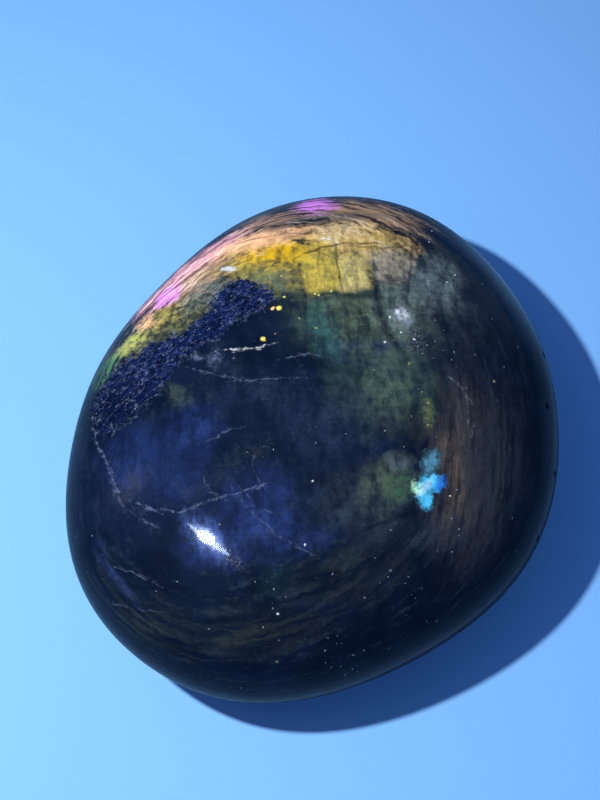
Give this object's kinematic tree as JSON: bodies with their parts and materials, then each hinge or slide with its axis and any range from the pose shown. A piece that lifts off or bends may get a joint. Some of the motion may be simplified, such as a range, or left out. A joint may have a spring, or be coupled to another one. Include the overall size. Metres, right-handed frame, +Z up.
{
  "type": "polished labradorite palm stone",
  "caption": "Polished labradorite palm stone: a smooth rounded-oval pebble, domed above and below its girth, that rests on a small ground flat.",
  "frame": {"origin": "on the rest flat, at the centre of the stone's plan box", "axes": "+Z up through the dome, +X to the right and +Y away from a person who looks down on the bright face"},
  "size_m": [0.0606, 0.0668, 0.0271],
  "materials": {
    "labradorite": "mirror-polished dark grey-blue feldspar with gold, green and blue flashes"
  },
  "bodies": {
    "root": {"stone": "labradorite"}
  },
  "joints": []
}
